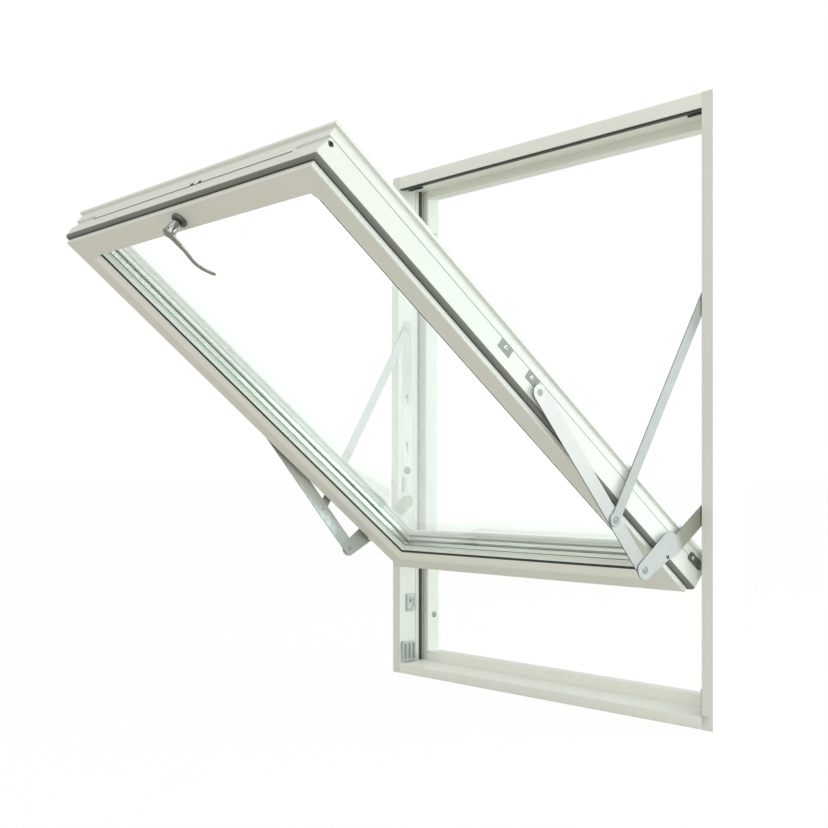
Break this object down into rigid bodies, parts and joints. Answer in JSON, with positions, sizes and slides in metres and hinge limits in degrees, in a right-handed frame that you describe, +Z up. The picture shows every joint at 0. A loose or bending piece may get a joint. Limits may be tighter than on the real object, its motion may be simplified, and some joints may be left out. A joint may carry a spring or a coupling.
{
  "type": "reversible pivot window",
  "caption": "Outward-opening reversible pivot window: white timber frame and triple-glazed sash swung out on steel hinge arms, with a lever handle.",
  "frame": {"origin": "middle of the sill's underside, half way through the frame's depth", "axes": "+X to the right seen from outside, +Y from outside to the room, +Z up"},
  "size_m": [0.99, 0.9766, 1.19],
  "materials": {
    "painted_timber": "factory-sprayed warm white paint, satin, on planed softwood",
    "cladding": "warm white powder coat on extruded aluminium",
    "gasket": "matt dark grey rubber",
    "glass": "clear float glass",
    "spacer": "satin grey spacer bar",
    "hinge_steel": "bright zinc plate on pressed steel",
    "guide": "dark moulded guide",
    "handle_metal": "satin nickel"
  },
  "bodies": {
    "window": {"bolt_plate": "hinge_steel", "carrier_bar_left": "hinge_steel", "carrier_bar_right": "hinge_steel", "frame_gasket_head": "gasket", "frame_gasket_left": "gasket", "frame_gasket_right": "gasket", "frame_head": "painted_timber", "frame_jamb_left": "painted_timber", "frame_jamb_right": "painted_timber", "frame_sill": "painted_timber", "glass_inner": "glass", "glass_middle": "glass", "glass_outer": "glass", "glazing_gasket": "gasket", "glazing_tape": "gasket", "guide_shoe_left": "guide", "guide_shoe_right": "guide", "handle_rose": "handle_metal", "head_keep_left": "guide", "head_keep_right": "guide", "hinge_rail_left": "hinge_steel", "hinge_rail_right": "hinge_steel", "hinge_rivets_left": "hinge_steel", "hinge_rivets_right": "hinge_steel", "lock_keep_left": "hinge_steel", "lock_keep_right": "hinge_steel", "long_arm_left": "hinge_steel", "long_arm_right": "hinge_steel", "pivot_plate_left": "hinge_steel", "pivot_plate_right": "hinge_steel", "restrictor_catch_left": "hinge_steel", "restrictor_catch_right": "hinge_steel", "sash_bottom_rail": "painted_timber", "sash_cladding_bottom": "cladding", "sash_cladding_left": "cladding", "sash_cladding_right": "cladding", "sash_cladding_top": "cladding", "sash_seal": "gasket", "sash_stile_left": "painted_timber", "sash_stile_right": "painted_timber", "sash_top_rail": "painted_timber", "short_arm_left": "hinge_steel", "short_arm_right": "hinge_steel", "spacer_inner": "spacer", "spacer_outer": "spacer"},
    "handle": {"handle_lever": "handle_metal"}
  },
  "joints": [
    {"name": "handle_turn", "type": "hinge", "parent": "window", "child": "handle", "pos_m": [0, -0.89077, 0.92641], "axis": [0, -0.6347, -0.7727], "range_deg": [0, 90]}
  ]
}
